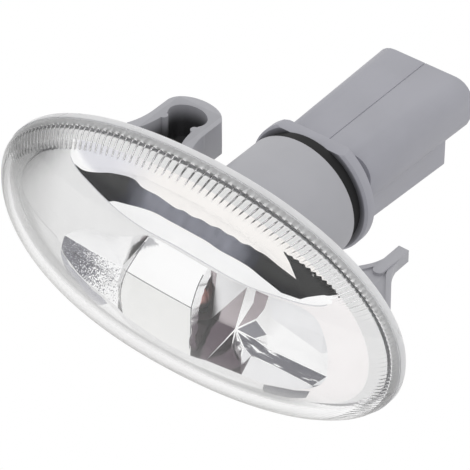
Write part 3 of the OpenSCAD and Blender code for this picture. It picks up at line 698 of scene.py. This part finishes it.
def apply_modifiers(obj):
    graph = bpy.context.evaluated_depsgraph_get()
    result = obj.evaluated_get(graph)
    mesh = bpy.data.meshes.new_from_object(result, preserve_all_data_layers=True, depsgraph=graph)
    obj.modifiers.clear()
    obj.data = mesh


# Mouldings
MOULD_R, MOULD_WELD, MOULD_FLAT, MOULD_EDGE = 0.22, 0.002, 1.0, 32


def rounded(node, name):
    """A copy of a CAD node with its sharp moulded edges broken by a small radius."""
    mesh = NODES[node].data.copy()
    obj = bpy.data.objects.new(name, mesh)
    bpy.context.scene.collection.objects.link(obj)
    bm = bmesh.new()
    bm.from_mesh(mesh)
    bmesh.ops.remove_doubles(bm, verts=bm.verts, dist=MOULD_WELD*MM)
    bmesh.ops.dissolve_limit(bm, angle_limit=math.radians(MOULD_FLAT), verts=bm.verts, edges=bm.edges)
    bm.to_mesh(mesh)
    bm.free()
    mesh.materials.clear()
    mod = obj.modifiers.new("edge", "BEVEL")
    mod.width, mod.segments, mod.use_clamp_overlap = MOULD_R*MM, 2, True
    mod.limit_method, mod.angle_limit = "ANGLE", math.radians(MOULD_EDGE)
    apply_modifiers(obj)
    obj.data.polygons.foreach_set("use_smooth", [True]*len(obj.data.polygons))
    return sharpen(obj, SHARP_MOULD)


# Materials
def lin(*rgb):
    return tuple(float(v) for v in lin_array(rgb))


def material(name, color, rough=0.4, metal=0.0, **more):
    m = bpy.data.materials.new(name)
    m.use_nodes = True
    bsdf = m.node_tree.nodes["Principled BSDF"]
    bsdf.inputs["Base Color"].default_value = (*color, 1)
    bsdf.inputs["Roughness"].default_value = rough
    bsdf.inputs["Metallic"].default_value = metal
    for key, value in more.items():
        bsdf.inputs[key.replace("_", " ")].default_value = value
    return m


class Nodes:
    """A short way to write a node tree."""
    def __init__(self, tree):
        self.tree = tree

    def add(self, kind, **props):
        node = self.tree.nodes.new(kind)
        for key, value in props.items():
            setattr(node, key, value)
        return node

    def put(self, value, socket):
        if isinstance(value, bpy.types.NodeSocket):
            self.tree.links.new(value, socket)
        else:
            socket.default_value = value

    def surface(self, value, name="Base Color"):
        self.put(value, self.tree.nodes["Principled BSDF"].inputs[name])

    def coords(self, kind="Object"):
        return self.add("ShaderNodeTexCoord").outputs[kind]

    def split(self, vector):
        node = self.add("ShaderNodeSeparateXYZ")
        self.put(vector, node.inputs[0])
        return node.outputs

    def math(self, op, a, b=0.0):
        node = self.add("ShaderNodeMath", operation=op)
        for value, socket in zip((a, b, 0.0), node.inputs):
            self.put(value, socket)
        return node.outputs[0]

    def ramp(self, value, low, high, out_low=0.0, out_high=1.0):
        node = self.add("ShaderNodeMapRange", interpolation_type="SMOOTHSTEP")
        for v, i in zip((value, low, high, out_low, out_high), (0, 1, 2, 3, 4)):
            self.put(v, node.inputs[i])
        return node.outputs[0]

    def noise(self, place, scale, detail):
        node = self.add("ShaderNodeTexNoise")
        self.put(place, node.inputs["Vector"])
        node.inputs["Scale"].default_value, node.inputs["Detail"].default_value = scale, detail
        return node.outputs[0]

    def mix(self, factor, a, b):
        node = self.add("ShaderNodeMix", data_type="RGBA")
        self.put(factor, node.inputs[0])
        self.put(a if isinstance(a, bpy.types.NodeSocket) else (*a, 1), node.inputs[6])
        self.put(b if isinstance(b, bpy.types.NodeSocket) else (*b, 1), node.inputs[7])
        return node.outputs[2]

    def rays(self):
        """1 for rays from the camera, straight or through the lens, and all kinds of ray by name."""
        kinds = self.add("ShaderNodeLightPath").outputs
        return self.math("MAXIMUM", kinds["Is Camera Ray"], kinds["Is Transmission Ray"]), kinds


def film(name, low, high=None, scale=300, bias=0.5, sharp=0.25, stretch=(1, 1, 1), rough=0.1, fade=None):
    """Vacuum-metallised film: one tone, or two broken into each other by noise; a tone other than white, and
    a fade along x, is painted reflection and shade.
    """
    m = material(name, WHITE, rough, 1.0)
    n = Nodes(m.node_tree)
    low = film_tone(low)
    high = np.minimum(low*1.02, 1) if high is None else film_tone(high)
    place = n.coords()
    turn = n.add("ShaderNodeMapping")
    n.put(place, turn.inputs[0])
    turn.inputs["Scale"].default_value = stretch
    level = n.noise(turn.outputs[0], scale, 4)
    if fade:
        start, end, least, most = fade
        level = n.math("ADD", level, n.ramp(n.split(place)[0], start*MM, end*MM, least, most))
    n.surface(n.mix(n.ramp(level, bias - sharp, bias + sharp), tuple(low), tuple(high)))
    return m


def painted_film(name, rough, specks=0.0):
    """The same film with the painted reflections and shade of its tone attribute on it; specks sets how many
    light dots show.
    """
    m = material(name, WHITE, rough, 1.0)
    n = Nodes(m.node_tree)
    place = n.coords()
    shade = n.add("ShaderNodeVectorMath", operation="SCALE")
    n.put(n.add("ShaderNodeAttribute", attribute_name="tone").outputs["Color"], shade.inputs[0])
    n.put(n.ramp(n.noise(place, 120, 2), 0.3, 0.7, 0.985, 1.015), shade.inputs["Scale"])
    color = shade.outputs[0]
    if specks:
        dots = n.ramp(n.noise(place, 2600, 3), 0.72 - specks, 0.78 - specks, 0, 0.4)
        color = n.mix(dots, color, WHITE)
    n.surface(color)
    return m


def moulded(name, color, rough, grain=0.02, painted_shade=None):
    """Plastic, rubber or metal with a fine grain and slow changes of gloss, darkened by painted shade where
    the given mask says so.
    """
    m = material(name, color, rough)
    n = Nodes(m.node_tree)
    place = n.coords()
    slow, fine = n.noise(place, 90, 2), n.noise(place, 3500, 2)
    dark, light = tuple(c*0.96 for c in color), tuple(c*1.04 for c in color)
    tone = n.mix(n.ramp(slow, 0.3, 0.7), dark, light)
    if painted_shade:
        # painted shade: where the mask is 1 the colour darkens to 0.12 of itself
        tone = n.mix(painted_shade(n, *n.split(place)), tone, tuple(c*0.12 for c in color))
    n.surface(tone)
    n.surface(n.ramp(slow, 0.3, 0.7, rough - 0.05, rough + 0.06), "Roughness")
    bump = n.add("ShaderNodeBump")
    bump.inputs["Strength"].default_value = grain*5
    bump.inputs["Distance"].default_value = 0.00002
    n.put(fine, bump.inputs["Height"])
    n.surface(bump.outputs[0], "Normal")
    return m


# the clip's inside: its middle and reach in y and the height of its painted shade; the flange's gap with
# painted shade, between two radii
CLIP_MID_Y, CLIP_REACH, CLIP_SHADE = 17, 14, 4.4
BARREL_R, GAP_R = 11.8, 13.3


def within(n, value, middle, reach):
    """1 where a value in metres lies within a reach of its middle, both in mm, and 0 elsewhere."""
    return n.math("LESS_THAN", n.math("ABSOLUTE", n.math("SUBTRACT", value, middle*MM)), reach*MM)


def clip_painted_shade(n, x, y, z):
    """The painted shade deep inside the spring clip's loop: 1 low down, less towards its top, 0 outside it.
    """
    loop = n.math("MULTIPLY", within(n, x, CLIP_X, CLIP_IN), within(n, y, CLIP_MID_Y, CLIP_REACH))
    return n.math("MULTIPLY", loop, n.ramp(z, 0, CLIP_SHADE*MM, 1, 0.1))


def flange_painted_shade(n, x, y, z):
    """The painted shade in the narrow gap in front of the holder's flange, darkest next to the barrel."""
    off = n.math("SUBTRACT", x, AXIS_X*MM)
    r = n.math("SQRT", n.math("ADD", n.math("POWER", off, 2.0), n.math("POWER", z, 2.0)))
    front = n.math("LESS_THAN", y, (FLANGE_Y + 0.05)*MM)
    return n.math("MULTIPLY", front, n.ramp(r, BARREL_R*MM, GAP_R*MM, 0.85, 0.15))


def lens_material(name):
    """Clear moulded plastic, with painted shade that greys its steep lower and left wall, not its face."""
    m = material(name, WHITE, 0.02, 0, Transmission_Weight=1.0, IOR=1.49)
    n = Nodes(m.node_tree)
    x, y, z = n.split(n.coords())
    low, left = n.ramp(z, -2*MM, -9*MM), n.ramp(x, -24*MM, -37*MM)
    low = n.math("MULTIPLY", low, n.ramp(x, 18*MM, 32*MM, 1, 0))
    # painted shade: the steep lower and left wall turns grey
    wall_shade = n.math("MULTIPLY", n.ramp(y, -10*MM, -5.5*MM), n.math("MAXIMUM", low, left))
    n.surface(n.mix(wall_shade, WHITE, (LENS_WALL_SHADE, LENS_WALL_SHADE, LENS_WALL_SHADE)))
    return m


def coated_glass(name):
    """The bulb's mirror-coated glass: mauve, with salmon patches where the coating is thin."""
    m = material(name, lin(0.7, 0.62, 0.64), 0.42, 1.0)
    n = Nodes(m.node_tree)
    patch = n.ramp(n.noise(n.coords(), 160, 1), 0.42, 0.56)
    n.surface(n.mix(patch, lin(0.90, 0.82, 0.84), lin(1.0, 0.80, 0.77)))
    return m


# Studio
FLOOR_Z, FLOOR_SIZE = -0.14, 4.0


def world():
    """A white room; the bright film reflects it a little darker towards the horizon in front of the lamp."""
    w = bpy.data.worlds.new("studio")
    bpy.context.scene.world = w
    w.use_nodes = True
    w.node_tree.nodes.clear()
    n = Nodes(w.node_tree)
    _, y, z = n.split(n.coords("Generated"))
    band = n.math("MULTIPLY", n.ramp(z, -0.03, 0.04), n.ramp(z, 0.22, 0.4, 1, 0))
    band = n.math("MULTIPLY", band, n.ramp(y, -0.5, -0.1, 1, 0))
    room = n.mix(band, WHITE, lin(0.62, 0.63, 0.66))
    plain, _ = n.rays()
    glow = n.add("ShaderNodeBackground")
    n.put(n.mix(plain, room, WHITE), glow.inputs[0])
    n.put(glow.outputs[0], n.add("ShaderNodeOutputWorld").inputs[0])


def make_floor():
    """A pale floor: white to the camera, with a painted shadow near the lamp in what the film reflects."""
    corners = [(-1, -1), (1, -1), (1, 1), (-1, 1)]
    verts = [(FLOOR_SIZE*x/MM, FLOOR_SIZE*y/MM, FLOOR_Z/MM) for x, y in corners]
    floor = new_object("floor", verts, [(0, 1, 2, 3)], False)
    m = bpy.data.materials.new("floor_pale")
    m.use_nodes = True
    m.node_tree.nodes.clear()
    n = Nodes(m.node_tree)
    x, y, _ = n.split(n.coords())
    far = n.math("SQRT", n.math("ADD", n.math("MULTIPLY", x, x), n.math("MULTIPLY", y, y)))
    plain, kinds = n.rays()
    # painted shadow: the floor that the film reflects darkens near the lamp, out to about 0.4 m
    level = n.mix(n.ramp(far, 0.08, 0.4), lin(0.85, 0.845, 0.84), WHITE)
    glow = n.add("ShaderNodeEmission")
    n.put(n.mix(plain, level, WHITE), glow.inputs[0])
    matt = n.add("ShaderNodeBsdfDiffuse")
    matt.inputs[0].default_value = (0.85, 0.85, 0.85, 1)
    shows = n.math("MAXIMUM", plain, kinds["Is Glossy Ray"])
    mix = n.add("ShaderNodeMixShader")
    for value, socket in zip((shows, matt.outputs[0], glow.outputs[0]), mix.inputs):
        n.put(value, socket)
    n.put(mix.outputs[0], n.add("ShaderNodeOutputMaterial").inputs[0])
    floor.data.materials.append(m)


# The lamp
# how deep the bond, a white film painted bright for the light piped through the rim, reaches inside the
# skirt, and the skirt's relative radius with a little room
BOND_Y, SKIRT_K = 1.95, 1.005


def dress(piece, body, node, slot, *mats):
    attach(piece, body)
    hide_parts(node)
    for m in mats:
        piece.data.materials.append(m)


def recoat(node, mat):
    """Another material for a CAD node that is shown as it is."""
    NODES[node].data.materials.clear()
    NODES[node].data.materials.append(mat)


def set_input(mat, name, value):
    mat.node_tree.nodes["Principled BSDF"].inputs[name].default_value = value


def lens_parts(mesh):
    """The material of each face of the lens: 0 is clear, 1 the cloudy rim and 2 the bond, a white film that
    paints the light piped through the rim.
    """
    for poly in mesh.polygons:
        c = poly.center/MM
        k = ((abs(c.x)/SKIRT_L)**POWER + (abs(c.z)/SKIRT_H)**POWER)**(1/POWER)
        if c.y > -0.01 or (c.y > -BOND_Y and k < SKIRT_K):
            poly.material_index = 2
        elif c.y > -RIM_T - 0.3 and k > SKIRT_K:
            poly.material_index = 1


make_camera()
world()
make_floor()

lens = make_lens()
clear = lens_material("lens_clear")
rim = moulded("lens_rim", lin(0.93, 0.93, 0.935), 0.3)
set_input(rim, "Transmission Weight", 0.35)
# the bond's white film is painted light, standing in for light piped through the rim
dress(lens, "lamp", "lens", "lens", clear, rim, film("lens_bond", WHITE, rough=0.35))
lens_parts(lens.data)

# the reflector's films: their greys, mauves, speckles, streaks and fades are painted reflections and shade
FILMS = {
    "film": painted_film("film_bezel", 0.14),
    "scoop": painted_film("film_scoop", 0.1),
    "streak": painted_film("film_streak", 0.2, 0.03),
    "apron": film("film_apron", APRON, rough=0.3),
    "bore": film("film_bore", (0.84, 0.79, 0.80), rough=0.6),
    "line_pale": film("film_line_pale", (0.82, 0.82, 0.83)),
    "line_dark": film("film_line_dark", (0.48, 0.48, 0.49)),
    "line_grey": film("film_line_grey", (0.56, 0.56, 0.57)),
    "line_bright": film("film_line_bright", WHITE),
    "hood_edge": film("film_hood_edge", WHITE, rough=0.25),
    "facet_white": film("film_white", WHITE, rough=0.2),
    "facet_pale": film("film_pale", (0.92, 0.92, 0.925), rough=0.25),
    "facet_grey": film("film_grey", (0.57, 0.57, 0.59)),
    "facet_mauve": film("film_mauve", (0.69, 0.66, 0.67)),
    "facet_dusk": film("film_dusk", (0.44, 0.41, 0.43)),
    "facet_glass": film("film_glass", (0.45, 0.44, 0.46), WHITE, 900, 0.5, 0.08),
    "facet_behind": film("film_behind", WHITE, (0.80, 0.76, 0.77), rough=0.5, fade=(-8, -2, -0.5, 0.5)),
    "facet_speckled": film("film_speckled", (0.45, 0.45, 0.48), WHITE, 4200, 0.62, 0.05,
                           fade=(-21, -9, 0, 0.27)),
    "facet_streaked": film("film_streaked", (0.50, 0.50, 0.52), WHITE, 700, 0.60, 0.06,
                           stretch=(0.4, 1, 2)),
}
reflector = make_reflector()
bore(reflector)
dress(reflector, "lamp", "reflector", "reflector")

# the housing and the holder carry painted shade in the clip's loop and in the flange's gap
grey = moulded("housing_grey", lin(0.66, 0.66, 0.68), 0.45, painted_shade=clip_painted_shade)
blue_grey = moulded("holder_grey", lin(0.625, 0.625, 0.655), 0.42, painted_shade=flange_painted_shade)
dress(rounded("housing", "housing_moulding"), "lamp", "housing", "housing", grey)
dress(rounded("bulb_holder", "holder_moulding"), "holder", "bulb_holder", "holder", blue_grey)
brass = moulded("contact_brass", lin(0.80, 0.66, 0.38), 0.28)
set_input(brass, "Metallic", 1.0)
recoat("holder_seal", moulded("seal_rubber", (0.006, 0.006, 0.007), 0.75))
recoat("bulb", coated_glass("bulb_glass"))
recoat("bulb_leads", moulded("lead_steel", lin(0.72, 0.71, 0.69), 0.3))
recoat("contact_left", brass)
recoat("contact_right", brass)

bpy.context.scene.view_settings.view_transform = "Standard"
